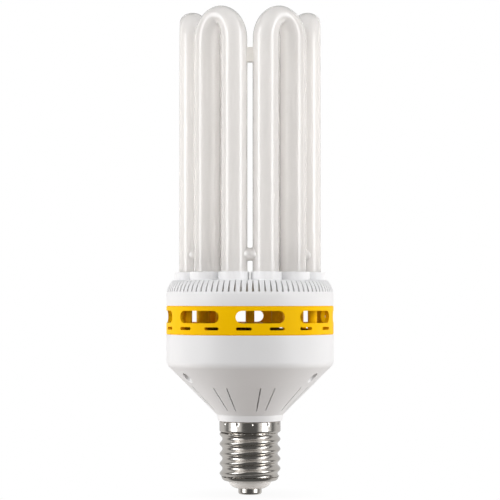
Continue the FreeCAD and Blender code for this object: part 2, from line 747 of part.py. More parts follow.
def choke_core():
    """Ferrite core: a frame with a middle limb."""
    frame = block(CORE_WIDTH, CORE_DEPTH, -CORE_HEIGHT, 0)
    opening = block(CORE_WIDTH - 2 * CORE_LIMB, CORE_DEPTH, CORE_YOKE - CORE_HEIGHT, -CORE_YOKE)
    limb = block(2 * CORE_LIMB, CORE_DEPTH, CORE_YOKE - CORE_HEIGHT, -CORE_YOKE)
    return hung(frame.cut(opening).fuse(limb).removeSplitter(), CORE_CIRCLE, CORE_ANGLE)


def choke_winding():
    """Round-cornered coil on the core's middle limb."""
    base = CORE_YOKE + COIL_CLEARANCE - CORE_HEIGHT
    top = -CORE_YOKE - COIL_CLEARANCE
    width = CORE_WIDTH - 2 * CORE_LIMB - 2 * COIL_CLEARANCE
    coil = block(width, COIL_DEPTH, base, top)
    coil = coil.makeFillet(COIL_ROUNDING, upright_edges(coil))
    hole = block(2 * CORE_LIMB + 2 * COIL_CLEARANCE, CORE_DEPTH + 2 * COIL_CLEARANCE, base, top)
    return hung(coil.cut(hole), CORE_CIRCLE, CORE_ANGLE)


def filter_choke():
    """Drum core filled with its winding between two flanges."""
    drum = turned(
        (0, 0),
        (CHOKE_RADIUS, 0),
        (CHOKE_RADIUS, -CHOKE_FLANGE),
        (CHOKE_HUB_RADIUS, -CHOKE_FLANGE),
        (CHOKE_HUB_RADIUS, CHOKE_FLANGE - CHOKE_HEIGHT),
        (CHOKE_RADIUS, CHOKE_FLANGE - CHOKE_HEIGHT),
        (CHOKE_RADIUS, -CHOKE_HEIGHT),
        (0, -CHOKE_HEIGHT),
    )
    return hung(drum, CHOKE_CIRCLE, CHOKE_ANGLE)


def drive_toroid():
    """Ring core that drives the two transistors."""
    ring = turned(
        (TOROID_HOLE_RADIUS, 0),
        (TOROID_RADIUS, 0),
        (TOROID_RADIUS, TOROID_ROUNDING - TOROID_HEIGHT),
        (TOROID_RADIUS - TOROID_ROUNDING, -TOROID_HEIGHT),
        (TOROID_HOLE_RADIUS, -TOROID_HEIGHT),
    )
    return hung(ring, TOROID_CIRCLE, TOROID_ANGLE)


def transistor(angle):
    """Upright package on three legs, with a drilled metal tab."""
    body_base = -CHIP_STANDOFF - CHIP_HEIGHT + CHIP_TAB_HEIGHT
    tab_base = -CHIP_STANDOFF - CHIP_HEIGHT
    body = block(CHIP_WIDTH, CHIP_DEPTH, body_base, -CHIP_STANDOFF)
    tab = Part.makeBox(
        CHIP_WIDTH,
        CHIP_TAB_THICKNESS,
        body_base - tab_base,
        Vector(-CHIP_WIDTH / 2, CHIP_DEPTH / 2 - CHIP_TAB_THICKNESS, tab_base),
    )
    hole = Part.makeCylinder(
        CHIP_HOLE_RADIUS,
        CHIP_DEPTH,
        Vector(0, -CHIP_DEPTH / 2, (body_base + tab_base) / 2),
        Vector(0, 1, 0),
    )
    legs = []
    for side in (-1, 0, 1):
        leg = block(CHIP_LEG_SIZE, CHIP_LEG_SIZE, -CHIP_STANDOFF, 0)
        leg.translate(Vector(side * CHIP_LEG_PITCH, 0, 0))
        legs.append(leg)
    return hung(body.fuse([tab.cut(hole)] + legs).removeSplitter(), CHIP_CIRCLE, angle)


def film_capacitor(angle):
    """Dipped block with round corners."""
    body = block(FILM_WIDTH, FILM_DEPTH, -FILM_HEIGHT, 0)
    return hung(body.makeFillet(FILM_ROUNDING, upright_edges(body)), FILM_CIRCLE, angle)


def bridge_rectifier():
    """Flat package with one corner cut off."""
    body = block(RECTIFIER_WIDTH, RECTIFIER_DEPTH, -RECTIFIER_HEIGHT, 0)
    corner = section(
        (RECTIFIER_WIDTH / 2, -RECTIFIER_HEIGHT),
        (RECTIFIER_WIDTH / 2, RECTIFIER_CORNER - RECTIFIER_HEIGHT),
        (RECTIFIER_WIDTH / 2 - RECTIFIER_CORNER, -RECTIFIER_HEIGHT),
    ).extrude(Vector(0, RECTIFIER_DEPTH, 0))
    corner.translate(Vector(0, -RECTIFIER_DEPTH / 2, 0))
    return hung(body.cut(corner), RECTIFIER_CIRCLE, RECTIFIER_ANGLE)


def fuse():
    """Small fuse with end caps, standing on the board."""
    waist = FUSE_RADIUS - FUSE_WAIST
    body = turned(
        (0, 0),
        (FUSE_RADIUS, 0),
        (FUSE_RADIUS, -FUSE_CAP_HEIGHT),
        (waist, -FUSE_CAP_HEIGHT),
        (waist, FUSE_CAP_HEIGHT - FUSE_HEIGHT),
        (FUSE_RADIUS, FUSE_CAP_HEIGHT - FUSE_HEIGHT),
        (FUSE_RADIUS, -FUSE_HEIGHT),
        (0, -FUSE_HEIGHT),
    )
    return hung(body, FUSE_CIRCLE, FUSE_ANGLE)


# Leads


def lead(points):
    """Round wire along straight runs joined by tangent arcs."""
    edges = []
    here = points[0]
    for before, corner, after in zip(points, points[1:], points[2:]):
        arriving = (corner - before).normalize()
        leaving = (after - corner).normalize()
        turn = arriving.getAngle(leaving)
        reach = LEAD_BEND * math.tan(turn / 2)
        middle = corner + (leaving - arriving).normalize() * (LEAD_BEND / math.cos(turn / 2) - LEAD_BEND)
        bend_start = corner - arriving * reach
        bend_end = corner + leaving * reach
        edges.append(Part.LineSegment(here, bend_start).toShape())
        edges.append(Part.Arc(bend_start, middle, bend_end).toShape())
        here = bend_end
    edges.append(Part.LineSegment(here, points[-1]).toShape())
    ring = Part.Circle(points[0], points[1] - points[0], LEAD_RADIUS).toShape()
    return Part.Wire(edges).makePipeShell([Part.Wire(ring)], True, False)


def contact_lead():
    """Wire from the board down the axis to the stem of the centre contact."""
    return lead(
        [
            Vector(CAP_LEAD_OFFSET, 0, BOARD_BASE),
            Vector(CAP_LEAD_OFFSET, 0, CONE_BASE + LEAD_TURN_RISE),
            Vector(0, 0, NECK_BASE - LEAD_TURN_RISE),
            Vector(0, 0, CONTACT_HEIGHT + STEM_LENGTH),
        ]
    )


def shell_lead():
    """Wire from the board through the neck to the inside of the screw shell."""
    height = SHELL_BASE + SHELL_HEIGHT - SHELL_LEAD_HEIGHT
    return lead(
        [
            Vector(-CAP_LEAD_OFFSET, 0, BOARD_BASE),
            Vector(-CAP_LEAD_OFFSET, 0, height),
            Vector(-SHELL_BORE_RADIUS + TURNED_CLEARANCE, 0, height),
        ]
    )


def electrode_lead(side, offset):
    """Wire from an electrode leg's foot, across to a duct of the ring and down to the board."""
    leg = polar(LEG_CIRCLE, side * (180 - LEG_STEP / 2))
    duct = polar(DUCT_CIRCLE, side * DUCT_ANGLE)
    along = (duct - leg).normalize()
    shift = along.cross(UP) * offset
    level = LEG_FOOT - ELECTRODE_DROP
    return lead(
        [
            leg + shift + UP * LEG_FOOT,
            leg + shift + UP * level,
            duct + shift + UP * level,
            duct + shift + UP * BOARD_TOP,
        ]
    )


def save(shape, name):
    """Write one node."""
    shape.exportStep("parts/" + name + ".step")


def main():
    os.makedirs("parts", exist_ok=True)
    for make in (
        centre_contact,
        cap_insulator,
        screw_shell,
        ballast_housing,
        housing_screws,
        vent_ring,
        tube_holder,
        circuit_board,
        choke_core,
        choke_winding,
        filter_choke,
        drive_toroid,
        bridge_rectifier,
        fuse,
        contact_lead,
        shell_lead,
    ):
        save(make(), make.__name__)
    gaps = angles(TUBE_COUNT)
    for number, angle in enumerate(gaps, 1):
        save(u_tube(angle + TUBE_STEP / 2), f"u_tube_{number}")
    rear = 180
    for number, angle in enumerate([angle for angle in gaps if angle != rear], 1):
        save(tube_bridge(angle), f"tube_bridge_{number}")
        save(tube_spacer(angle), f"tube_spacer_{number}")
    for make, places in (
        (bulk_capacitor, CAPACITOR_ANGLES),
        (transistor, CHIP_ANGLES),
        (film_capacitor, FILM_ANGLES),
    ):
        for number, angle in enumerate(places, 1):
            save(make(angle), f"{make.__name__}_{number}")
    wires = [(side, offset) for side in (-1, 1) for offset in (-ELECTRODE_HALF_GAP, ELECTRODE_HALF_GAP)]
    for number, (side, offset) in enumerate(wires, 1):
        save(electrode_lead(side, offset), f"electrode_lead_{number}")


main()
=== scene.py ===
# %% [markdown]
# # A compact fluorescent lamp with six bent tubes
# The CAD model of the lamp is already exact: every tube, moulding and wire is in its place.
# This lesson dresses it. It sets up a camera and a small photo studio, mixes a finish for each
# material, and models again by hand the pieces that need softer edges than CAD gives them.

# %% Load the lamp
import json
import math

import bmesh
import bpy
from mathutils import Matrix, Vector


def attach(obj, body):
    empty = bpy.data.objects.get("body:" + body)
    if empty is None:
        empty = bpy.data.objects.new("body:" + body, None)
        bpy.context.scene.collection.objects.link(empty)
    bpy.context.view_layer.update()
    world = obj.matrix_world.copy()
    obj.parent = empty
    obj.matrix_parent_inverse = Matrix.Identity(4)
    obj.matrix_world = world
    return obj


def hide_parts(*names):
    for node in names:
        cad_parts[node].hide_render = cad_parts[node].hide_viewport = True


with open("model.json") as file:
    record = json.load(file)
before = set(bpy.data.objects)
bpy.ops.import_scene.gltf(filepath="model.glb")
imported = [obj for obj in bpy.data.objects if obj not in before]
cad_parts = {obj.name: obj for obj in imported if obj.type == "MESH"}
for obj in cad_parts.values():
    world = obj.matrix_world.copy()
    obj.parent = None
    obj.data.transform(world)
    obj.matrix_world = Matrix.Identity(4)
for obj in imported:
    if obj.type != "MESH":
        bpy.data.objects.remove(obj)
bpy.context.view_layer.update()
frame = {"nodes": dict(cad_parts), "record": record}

MM = 0.001
nodes = frame["nodes"]

# %% [markdown]
# ## Camera
# A long lens a good way off keeps the tubes almost parallel, as in a catalogue picture.
# The camera stands at the height of the yellow ring, because only there does the ring look
# like a straight band: above it we see rims from below, and below it from above.

# %% Place the camera
CAMERA_DISTANCE = 1.300
CAMERA_HEIGHT = 0.1257
AIM_HEIGHT = 0.1582
FIELD_WIDTH = 0.325
SENSOR_WIDTH = 36.0


def aimed(place, target):
    """Turn that makes a camera or a lamp at a place look at a target."""
    return (Vector(target) - Vector(place)).to_track_quat("-Z", "Y").to_euler()


camera = bpy.data.objects.new("camera", bpy.data.cameras.new("camera"))
bpy.context.scene.collection.objects.link(camera)
camera.data.sensor_width = SENSOR_WIDTH
camera.data.lens = SENSOR_WIDTH * CAMERA_DISTANCE / FIELD_WIDTH
camera.location = (0, -CAMERA_DISTANCE, CAMERA_HEIGHT)
camera.rotation_euler = aimed(camera.location, (0, 0, AIM_HEIGHT))
bpy.context.scene.camera = camera
bpy.context.scene.view_settings.view_transform = "Standard"
print("lens in mm:", round(camera.data.lens))

# %% [markdown]
# ## Writing shader maths in Python
# A material is a graph of nodes, and wiring every Math node by hand soon hides the idea.
# So a small class wraps an output socket and overloads the usual operators: an expression such
# as `1 - mask` then adds the Math node by itself. Every other node comes from one method.


# %% Sockets that can be added and multiplied
class Wire:
    """One output socket of a node. Arithmetic with wires adds Math nodes."""

    def __init__(self, graph, socket):
        self.graph = graph
        self.socket = socket

    def _math(self, operation, *values):
        settings = {"operation": operation}
        return self.graph.node("ShaderNodeMath", settings, dict(enumerate(values)))

    def __add__(self, other):
        return self._math("ADD", self, other)

    def __sub__(self, other):
        return self._math("SUBTRACT", self, other)

    def __rsub__(self, other):
        return self._math("SUBTRACT", other, self)

    def __mul__(self, other):
        return self._math("MULTIPLY", self, other)

    def __truediv__(self, other):
        return self._math("DIVIDE", self, other)

    def __pow__(self, other):
        return self._math("POWER", self, other)

    def __abs__(self):
        return self._math("ABSOLUTE", self)

    __radd__ = __add__
    __rmul__ = __mul__

    def step(self, low, high, start=0.0, end=1.0):
        """Smooth change from start to end while the value goes from low to high."""
        values = {"Value": self, "From Min": low, "From Max": high}
        values.update({"To Min": start, "To Max": end})
        return self.graph.node("ShaderNodeMapRange", {"interpolation_type": "SMOOTHSTEP"}, values)


print("wires ready")

# %% A graph that adds and feeds nodes
# Sockets of the Mix node that blend colours
MIX_FACTOR, MIX_FIRST, MIX_SECOND, MIX_RESULT = 0, 6, 7, 2


class Graph:
    """The node tree of a material or of the world."""

    def __init__(self, tree):
        self.tree = tree

    def node(self, kind, settings=None, inputs=None, output=0):
        """Add a node, set it up, feed its sockets and return one of its outputs."""
        made = self.tree.nodes.new(kind)
        for name, value in (settings or {}).items():
            setattr(made, name, value)
        self.feed(made, inputs or {})
        return Wire(self, made.outputs[output])

    def feed(self, node, inputs):
        """Give sockets a value or a link."""
        for name, value in inputs.items():
            if isinstance(value, Wire):
                self.tree.links.new(value.socket, node.inputs[name])
            else:
                node.inputs[name].default_value = value

    def split(self, vector):
        """The three parts of a vector."""
        first = self.node("ShaderNodeSeparateXYZ", None, {0: vector})
        return [Wire(self, socket) for socket in first.socket.node.outputs]

    def blend(self, mask, first, second):
        """One colour where the mask is 0 and another where it is 1."""
        values = {MIX_FACTOR: mask, MIX_FIRST: first, MIX_SECOND: second}
        return self.node("ShaderNodeMix", {"data_type": "RGBA"}, values, MIX_RESULT)


print("graphs ready")

# %% [markdown]
# ## Studio
# The picture has a clean white background, but the lamp itself stands in a dim room between two
# tall softboxes: that gives each glass tube its two bright lines and leaves the middle of the
# nickel cap dark. Making the whole world white would wash all of that out. So the world gives
# each kind of ray its own answer. A mirror-like surface sees a room that is pale behind and dim
# in front, with a pale wall panel on each side round the softbox. The edges in the room are soft:
# each is a pair of limits, where -1 is in front or below, and 1 is behind, above or at a side.

# %% The room that reflections show
ROOM_BEHIND = 0.65
ROOM_IN_FRONT = 0.11
ROOM_ABOVE = 0.40
PANEL = 0.80
PANEL_FRONT_EDGE = (-0.90, -0.78)
PANEL_REAR_EDGE = (-0.18, 0.05)
PANEL_FOOT = (-0.30, -0.05)
REAR_WALL_EDGE = (0.05, 0.50)
CEILING_EDGE = (0.80, 0.95)

world = bpy.data.worlds.new("studio")
world.use_nodes = True
bpy.context.scene.world = world
room = Graph(world.node_tree)
direction = room.node("ShaderNodeTexCoord", output="Generated")
across, depth, height = room.split(direction)
facing = depth / (1 - height * height) ** 0.5
panel = facing.step(*PANEL_FRONT_EDGE) * facing.step(*PANEL_REAR_EDGE, 1.0, 0.0)
panel = panel * height.step(*PANEL_FOOT)
walls = facing.step(*REAR_WALL_EDGE, ROOM_IN_FRONT, ROOM_BEHIND)
mirrored = walls + panel * PANEL + height.step(*CEILING_EDGE) * ROOM_ABOVE
print("room nodes:", len(world.node_tree.nodes))

# %% [markdown]
# ## Fill light
# Matt surfaces gather light from all round, so they get a soft fill of their own: a good deal from
# the front, less from the sides and from behind, and little from above and below. Low down at both
# sides it is strong, because it has to graze the edges of the cone under the housing.

# %% The fill that matt surfaces get
FILL_IN_FRONT = 1.14
FILL_BESIDE = 0.68
FILL_BEHIND = 0.50
FILL_ABOVE = 0.11
FILL_BELOW = 0.07
FILL_LOW_BESIDE = 4.60
SIDE_EDGE = (0.35, 0.85)
LOW_SIDE_EDGE = (0.45, 0.85)
LOW_REAR_EDGE = (-0.15, 0.15)
ABOVE_EDGE = (0.2, 0.9)
BELOW_EDGE = (-0.32, 0.16)
REAR_EDGE = (-0.3, 0.3)

beside = abs(across).step(*SIDE_EDGE)
low_beside = abs(across).step(*LOW_SIDE_EDGE) * depth.step(*LOW_REAR_EDGE)
above = height.step(*ABOVE_EDGE)
below = height.step(*BELOW_EDGE, 1.0, 0.0)
front_to_rear = depth.step(*REAR_EDGE, FILL_IN_FRONT, FILL_BEHIND)
level = beside * FILL_BESIDE + (1 - beside) * front_to_rear
low_level = low_beside * FILL_LOW_BESIDE + (1 - low_beside) * FILL_BELOW
fill = above * FILL_ABOVE + below * low_level + (1 - above - below) * level
print("room and fill nodes:", len(world.node_tree.nodes))

# %% [markdown]
# ## An answer for each ray
# The Light Path node tells which kind of ray asks. The camera sees white, and so does light that
# passes through the tubes, because in a dim room they would turn grey. What reaches a matt surface
# from below is warm, as the light off a wooden table is, and gives the shaded cone its tone.

# %% Join the answers
WHITE = (1.0, 1.0, 1.0, 1.0)
WARM = (1.0, 0.78, 0.60, 1.0)

seen = room.node("ShaderNodeLightPath", output="Is Camera Ray")
glossy = room.node("ShaderNodeLightPath", output="Is Glossy Ray")
through = room.node("ShaderNodeLightPath", output="Is Transmission Ray")
brightness = glossy * mirrored + through + (1 - glossy - through) * fill
matt = (1 - seen) * (1 - glossy) * (1 - through)
tint = room.blend(matt * below * (1 - low_beside), WHITE, WARM)
light = {"Color": tint, "Strength": seen + (1 - seen) * brightness}
room.feed(world.node_tree.nodes["Background"], light)
print("world nodes:", len(world.node_tree.nodes))

# %% [markdown]
# ## Floor
# Under the lamp lies white paper that can't be told from the background, apart from a faint shadow
# round the contact. A plain matt floor would turn grey where the light falls off. So the camera
# sees paper that glows white, with a share of shaded paper near the contact only. Reflections and
# the fill light don't meet the floor, so the room alone decides them.

# %% Lay the floor
FLOOR_SIZE = 8.0
FLOOR_DROP = 0.0004
FLOOR_SHADE = (0.42, 0.40, 0.385, 1.0)
SHADOW_REACH = 0.06
SHADOW_SHARE = 0.06

bpy.ops.object.select_all(action="DESELECT")
bpy.ops.mesh.primitive_plane_add(size=FLOOR_SIZE, location=(0, 0, -FLOOR_DROP))
floor = bpy.context.object
floor.name = "floor"
floor.data.materials.append(bpy.data.materials.new("floor_paper"))
floor.active_material.use_nodes = True
paper = Graph(floor.active_material.node_tree)
paper.tree.nodes.remove(paper.tree.nodes["Principled BSDF"])
spot = paper.node("ShaderNodeTexCoord", output="Object")
reach = paper.node("ShaderNodeVectorMath", {"operation": "LENGTH"}, {0: spot}, "Value")
camera_ray = paper.node("ShaderNodeLightPath", output="Is Camera Ray")
shadow = reach.step(0.0, SHADOW_REACH, SHADOW_SHARE, 0.0)
lit = paper.node("ShaderNodeBsdfDiffuse", None, {"Color": FLOOR_SHADE})
plain = paper.node("ShaderNodeEmission", None, {"Color": WHITE, "Strength": 1.0})
mixed = {0: camera_ray * (1 - shadow), 1: lit, 2: plain}
surface = paper.node("ShaderNodeMixShader", None, mixed)
paper.feed(paper.tree.nodes["Material Output"], {"Surface": surface})
floor.visible_diffuse = floor.visible_glossy = floor.visible_shadow = False
print("floor of", FLOOR_SIZE, "m")

# %% [markdown]
# ## Softboxes
# A lamp shows in a glossy tube as a bright line. So two tall softboxes, one to each side of the
# camera, draw two lines down every tube. They are much taller than the lamp, which keeps the lines
# unbroken from foot to crown, and a little cool, so that the lines look white on warm glass.

# %% Set up the softboxes
SOFTBOX_DISTANCE = 1.10
SOFTBOX_HEIGHT = 1.10
SOFTBOX_WIDTH = 0.42
SOFTBOX_CENTRE = 0.36
SOFTBOX_COLOUR = (0.96, 0.98, 1.0)
SOFTBOX_RADIANCE = 3.9
SOFTBOX_ANGLES = {"left_softbox": -62, "right_softbox": 58}


def softbox(name, angle):
    """Tall lamp at an angle in degrees to the side of the camera's line."""
    lamp = bpy.data.objects.new(name, bpy.data.lights.new(name, "AREA"))
    bpy.context.scene.collection.objects.link(lamp)
    turn = math.radians(angle)
    lamp.data.shape = "RECTANGLE"
    lamp.data.color = SOFTBOX_COLOUR
    lamp.data.size = SOFTBOX_WIDTH
    lamp.data.size_y = SOFTBOX_HEIGHT
    lamp.data.energy = SOFTBOX_RADIANCE * math.pi * SOFTBOX_WIDTH * SOFTBOX_HEIGHT
    lamp.location = (
        SOFTBOX_DISTANCE * math.sin(turn),
        -SOFTBOX_DISTANCE * math.cos(turn),
        SOFTBOX_CENTRE,
    )
    lamp.rotation_euler = aimed(lamp.location, (0, 0, SOFTBOX_CENTRE))
    lamp.visible_camera = False
    print(name, "at", angle, "degrees")


for name, angle in SOFTBOX_ANGLES.items():
    softbox(name, angle)

# %% [markdown]
# ## Snoot
# The tubes are translucent, so they swallow more of the light from the front than the housing
# does. A photographer evens that out with a snoot: a lamp with a narrow cone, set up just above
# the camera, which lights the tubes down to their collars and fades out on the housing's shoulder.
# It is kept out of reflections, where it would draw one more line down each tube.

# %% Snoot for the tubes
SNOOT_DISTANCE = 1.20
SNOOT_HEIGHT = 0.217
SNOOT_REACH = 0.092
SNOOT_POWER = 16.0
SNOOT_SOFT_EDGE = 0.20
SNOOT_RADIUS = 0.02

snoot = bpy.data.objects.new("snoot", bpy.data.lights.new("snoot", "SPOT"))
bpy.context.scene.collection.objects.link(snoot)
snoot.data.energy = SNOOT_POWER
snoot.data.spot_size = 2 * math.atan(SNOOT_REACH / SNOOT_DISTANCE)
snoot.data.spot_blend = SNOOT_SOFT_EDGE
snoot.data.shadow_soft_size = SNOOT_RADIUS
snoot.location = (0, -SNOOT_DISTANCE, SNOOT_HEIGHT)
snoot.rotation_euler = aimed(snoot.location, (0, 0, SNOOT_HEIGHT))
snoot.visible_camera = snoot.visible_glossy = False
print("snoot cone in degrees:", round(math.degrees(snoot.data.spot_size), 1))

# %% [markdown]
# ## Finishes
# Each finish starts from one colour, as the eye would name it, and then gets what the real
# surface has: a fine grain, a little unevenness in its gloss, and a bump that breaks up the light.

# %% Shared parts of a finish
# Limits that noise seldom leaves
NOISE_RANGE = (0.3, 0.7)


def paint(red, green, blue):
    """Colour from three screen values of 0 to 255, as the linear light that shaders use."""
    shares = [value / 255 for value in (red, green, blue)]
    linear = [s / 12.92 if s <= 0.04045 else ((s + 0.055) / 1.055) ** 2.4 for s in shares]
    return (*linear, 1.0)


class Finish(Graph):
    """A material with a Principled shader and the piece's own coordinates."""

    def __init__(self, name):
        self.material = bpy.data.materials.new(name)
        self.material.use_nodes = True
        super().__init__(self.material.node_tree)
        self.shader = self.tree.nodes["Principled BSDF"]
        self.place = self.node("ShaderNodeTexCoord", output="Object")

    def noise(self, size, detail=3.0, stretch=(1, 1, 1)):
        """Cloudy values between 0 and 1, with clouds of about one size in metres."""
        scaled = {0: self.place, 1: stretch}
        place = self.node("ShaderNodeVectorMath", {"operation": "MULTIPLY"}, scaled)
        values = {"Vector": place, "Scale": 1 / size, "Detail": detail}
        return self.node("ShaderNodeTexNoise", None, values)

    def bump(self, height, distance, strength=1.0):
        """Normal of a surface that is uneven by a distance in metres."""
        values = {"Height": height, "Distance": distance, "Strength": strength}
        return self.node("ShaderNodeBump", None, values)

    def shade(self, **sockets):
        """Feed the shader. A socket's name is written with underscores."""
        self.feed(self.shader, {name.replace("_", " "): value for name, value in sockets.items()})
        return self.material


print("finishes can be mixed")

# %% [markdown]
# ## Coated glass
# The tubes are clear glass with a layer of white powder inside. A glass shell round a white core
# would do, but light then needs many bounces. One shader on one surface is enough: a rough white
# that lets half of the light through is the powder, and a smooth coat over it is the glass. The
# coat bends light a little more than window glass does, for lines that are clearly brighter.


# %% Mix the coated glass
def coated_glass():
    """White powder that lets half of the light through, under a gloss coat."""
    finish = Finish("coated_glass")
    powder = finish.noise(4 * MM, detail=4.0)
    streaks = finish.noise(6 * MM, detail=2.0, stretch=(1, 1, 0.08))
    cloud = powder * 0.5 + streaks * 0.5
    colour = finish.blend(cloud, paint(243, 241, 239), paint(246, 244, 242))
    ripple = finish.noise(10 * MM, detail=1.0, stretch=(1, 1, 0.15))
    return finish.shade(
        Base_Color=colour,
        Roughness=powder.step(*NOISE_RANGE, 0.94, 1.0),
        Normal=finish.bump(ripple, distance=0.005 * MM),
        IOR=1.1,
        Transmission_Weight=0.5,
        Coat_Weight=1.0,
        Coat_Roughness=0.03,
        Coat_IOR=1.6,
    )


finishes = {"coated_glass": coated_glass()}
print("mixed:", *finishes)

# %% [markdown]
# ## Moulded plastics
# The housing, the ring and the tube holder are injection-moulded. Their moulds are spark-eroded,
# which leaves a grain that is too fine to model. So noise varies the roughness, and a bump of the
# same noise tilts the surface. The yellow has hardly any shine, because a white one would pale it.

# %% Mix the plastics
GRAIN_SMOOTHER = 0.05
GRAIN_ROUGHER = 0.06
# Dark and light colour, roughness, level of shine
MOULDED = {
    "white_plastic": ((231, 231, 232), (235, 235, 236), 0.42, 0.5),
    "yellow_plastic": ((253, 197, 0), (255, 201, 2), 0.38, 0.03),
}


def moulded_plastic(name, dark, light, roughness, shine):
    """Injection-moulded plastic: an even colour with a very fine spark-eroded grain."""
    finish = Finish(name)
    cloud = finish.noise(18 * MM, detail=2.0)
    grain = finish.noise(0.5 * MM, detail=2.0)
    limits = (roughness - GRAIN_SMOOTHER, roughness + GRAIN_ROUGHER)
    return finish.shade(
        Base_Color=finish.blend(cloud, paint(*dark), paint(*light)),
        Roughness=grain.step(*NOISE_RANGE, *limits),
        Normal=finish.bump(grain, distance=0.02 * MM, strength=0.5),
        Specular_IOR_Level=shine,
    )


for name, values in MOULDED.items():
    finishes[name] = moulded_plastic(name, *values)
print("mixed:", *finishes)

# %% [markdown]
# ## Nickel
# The cap's shell and its contact are brass with bright nickel plating. Drawing the sheet leaves
# faint lines round the axis. Noise draws them too when it is squeezed: it changes fast along the
# axis and slowly across it. A second, larger noise is the haze that handling leaves.


# %% Mix the nickel
def nickel():
    """Nickel plating on drawn brass: bright, with faint lines round the axis."""
    finish = Finish("nickel")
    lines = finish.noise(0.6 * MM, detail=3.0, stretch=(0.05, 0.05, 1))
    haze = finish.noise(6 * MM, detail=3.0)
    return finish.shade(
        Base_Color=finish.blend(haze, paint(203, 197, 190), paint(214, 210, 204)),
        Metallic=1.0,
        Roughness=haze.step(*NOISE_RANGE, 0.13, 0.19),
        Normal=finish.bump(lines, distance=0.004 * MM, strength=0.4),
    )


finishes["nickel"] = nickel()
print("mixed:", *finishes)

# %% [markdown]
# ## Plain finishes
# The insulator, the pads and all that is inside the housing are small or half hidden. A finish of
# their own for each would hardly show, so one function serves them all: two close colours in small
# specks, which also stand out a little from the surface.

# %% Mix the plain finishes
SPECK_SMOOTHER = 0.05
SPECK_ROUGHER = 0.08
SPECK_FLATNESS = 40
# Dark and light colour, size of the specks in mm, roughness, metallic
SPECKLED = {
    "white_glass": ((239, 237, 234), (244, 242, 240), 3, 0.16, 0.0),
    "soft_pad": ((229, 226, 220), (241, 238, 233), 1, 0.55, 0.0),
    "steel": ((150, 150, 150), (178, 178, 176), 2, 0.35, 1.0),
    "board": ((150, 112, 62), (166, 126, 74), 0.8, 0.60, 0.0),
    "ferrite": ((52, 52, 55), (66, 66, 69), 0.6, 0.55, 0.0),
    "winding": ((170, 96, 48), (196, 118, 60), 0.8, 0.32, 0.9),
    "black_plastic": ((30, 30, 31), (40, 40, 41), 0.6, 0.48, 0.0),
    "clear_glass": ((196, 202, 202), (208, 213, 213), 2, 0.12, 0.0),
    "capacitor_can": ((34, 40, 66), (42, 48, 76), 2, 0.30, 0.0),
    "dipped_film": ((150, 58, 34), (166, 68, 42), 2, 0.28, 0.0),
    "lead_wire": ((222, 221, 216), (232, 231, 227), 1, 0.45, 0.0),
}


def speckled(name, dark, light, size, roughness, metallic):
    """Plain finish: two close colours in small specks."""
    finish = Finish(name)
    specks = finish.noise(size * MM, detail=4.0)
    limits = (roughness - SPECK_SMOOTHER, roughness + SPECK_ROUGHER)
    return finish.shade(
        Base_Color=finish.blend(specks, paint(*dark), paint(*light)),
        Roughness=specks.step(*NOISE_RANGE, *limits),
        Metallic=metallic,
        Normal=finish.bump(specks, distance=size * MM / SPECK_FLATNESS, strength=0.4),
    )


for name, values in SPECKLED.items():
    finishes[name] = speckled(name, *values)
print("finishes:", len(finishes))

# %% [markdown]
# ## Dressing the CAD model
# Most pieces keep the shape that CAD gave them. The lamp's record names a material slot for each
# node, so one loop dresses them all, and no piece can be forgotten.

# %% Dress the CAD nodes
slots = {row["node"]: row["material_slot"] for row in frame["record"]["subparts"]}
for name, node in nodes.items():
    node.data.materials.clear()
    node.data.materials.append(finishes[slots[name]])
print("dressed", len(nodes), "nodes")

# %% [markdown]
# ## Handing pieces over
# A piece modelled here takes the place of a CAD node: it rides on the same body, wears the finish
# of the same slot, and the node itself is hidden. What repeats round the lamp is modelled once, at
# the front, and then copied and turned. The turn goes into each copy's mesh, so that every object
# stays at the origin and the grain of its finish stays put.

# %% Helpers for edit mode
SMOOTH_ANGLE = math.radians(40)


def begin(add, **settings):
    """Add a primitive alone, and go on in edit mode with all of it selected."""
    bpy.ops.object.select_all(action="DESELECT")
    add(**settings)
    bpy.ops.object.mode_set(mode="EDIT")
    bpy.ops.mesh.select_all(action="SELECT")
    return bpy.context.object


def pick(kind, wanted):
    """Select the verts or edges whose middle, in the piece's own coordinates, passes a test."""
    bpy.ops.mesh.select_mode(type={"verts": "VERT", "edges": "EDGE"}[kind])
    bpy.ops.mesh.select_all(action="DESELECT")
    shape = bmesh.from_edit_mesh(bpy.context.object.data)
    for part in getattr(shape, kind):
        corners = [part] if kind == "verts" else part.verts
        middle = sum((corner.co for corner in corners), Vector()) / len(corners)
        part.select_set(wanted(middle))
    bmesh.update_edit_mesh(bpy.context.object.data)


def settle():
    """Turn the piece's faces outwards, leave edit mode, put its place into its mesh, smooth it."""
    bpy.ops.mesh.select_all(action="SELECT")
    bpy.ops.mesh.normals_make_consistent(inside=False)
    bpy.ops.object.mode_set(mode="OBJECT")
    bpy.ops.object.transform_apply(location=True, rotation=True, scale=True)
    bpy.ops.object.shade_smooth_by_angle(angle=SMOOTH_ANGLE)


print("edit helpers ready")


# %% Helpers for handing over
def stand_for(piece, name, node):
    """Dress a piece and let it stand for a CAD node."""
    piece.name = name
    piece.data.materials.append(finishes[slots[node]])
    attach(piece, "root")
    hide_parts(node)


def turned_copies(pattern, name, node, angles):
    """Copies of a front piece, turned about the lamp's axis, each for its own CAD node."""
    for number, angle in enumerate(angles, 1):
        copy = bpy.data.objects.new(name, pattern.data.copy())
        bpy.context.scene.collection.objects.link(copy)
        copy.data.transform(Matrix.Rotation(math.radians(angle), 4, "Z"))
        stand_for(copy, f"{name}_{number}", f"{node}_{number}")
    bpy.data.objects.remove(pattern)
    print(name, "copies:", len(angles))


print("hand-over helpers ready")

